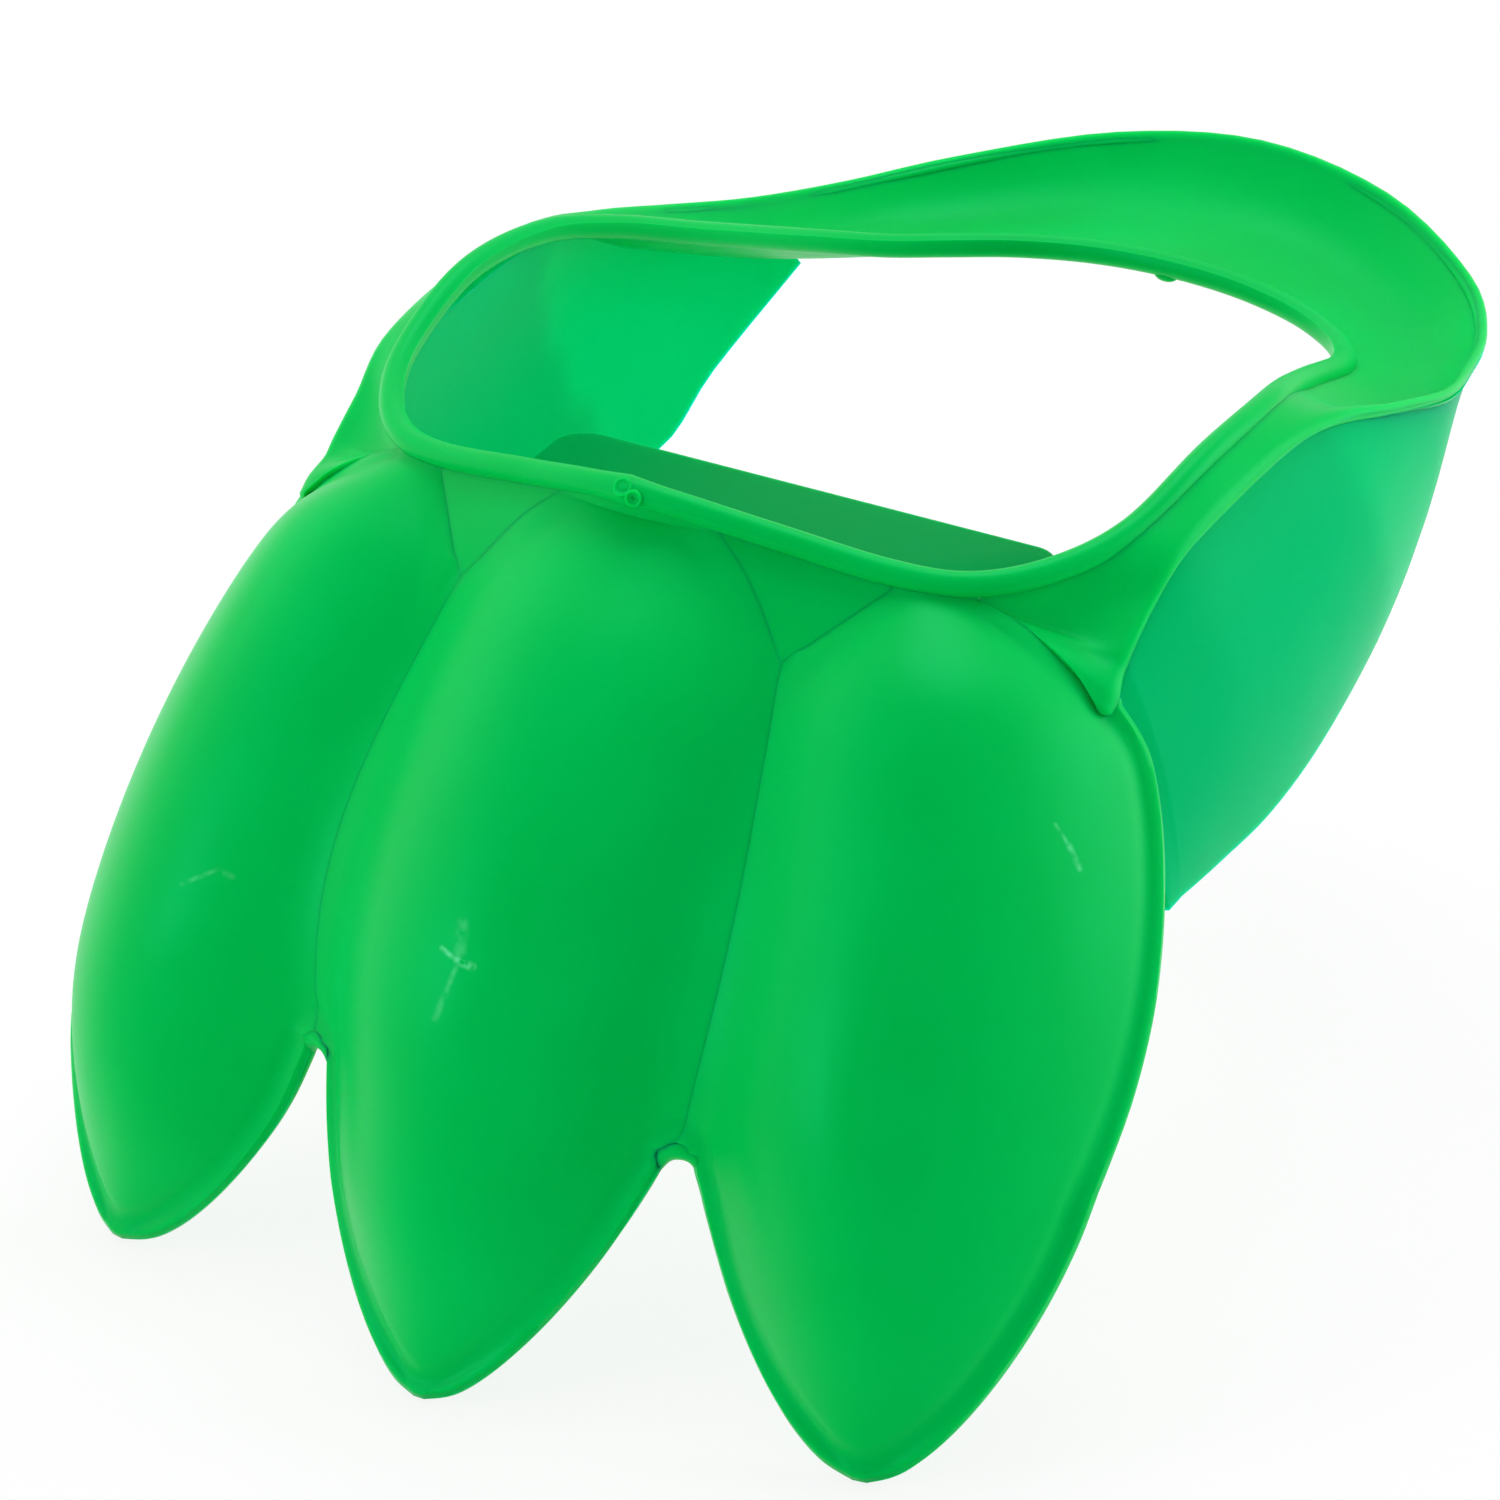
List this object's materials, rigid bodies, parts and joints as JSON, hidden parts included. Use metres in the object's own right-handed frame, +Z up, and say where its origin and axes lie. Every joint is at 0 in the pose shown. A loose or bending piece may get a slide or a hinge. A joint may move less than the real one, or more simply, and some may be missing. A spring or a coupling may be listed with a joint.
{
  "type": "hand leaf scoop",
  "caption": "Hand-worn leaf scoop with deep curved claws under an oval hand opening, a wrist strap behind it and a shelf inside for the fingers.",
  "frame": {"origin": "middle of the bounding box's base, level with the claw tips", "axes": "+X to the object's right, +Y from the claws towards the wrist strap, +Z up out of the hand opening"},
  "size_m": [0.2036, 0.2704, 0.1467],
  "materials": {
    "green_polypropylene": "satin, slightly translucent, as moulded"
  },
  "bodies": {
    "root": {"left_claw": "green_polypropylene", "middle_claw": "green_polypropylene", "right_claw": "green_polypropylene", "left_gusset": "green_polypropylene", "right_gusset": "green_polypropylene", "rim_bead": "green_polypropylene", "left_band": "green_polypropylene", "right_band": "green_polypropylene", "hand_strap": "green_polypropylene", "outer_bead": "green_polypropylene", "left_cheek": "green_polypropylene", "right_cheek": "green_polypropylene", "finger_shelf": "green_polypropylene"}
  },
  "joints": []
}
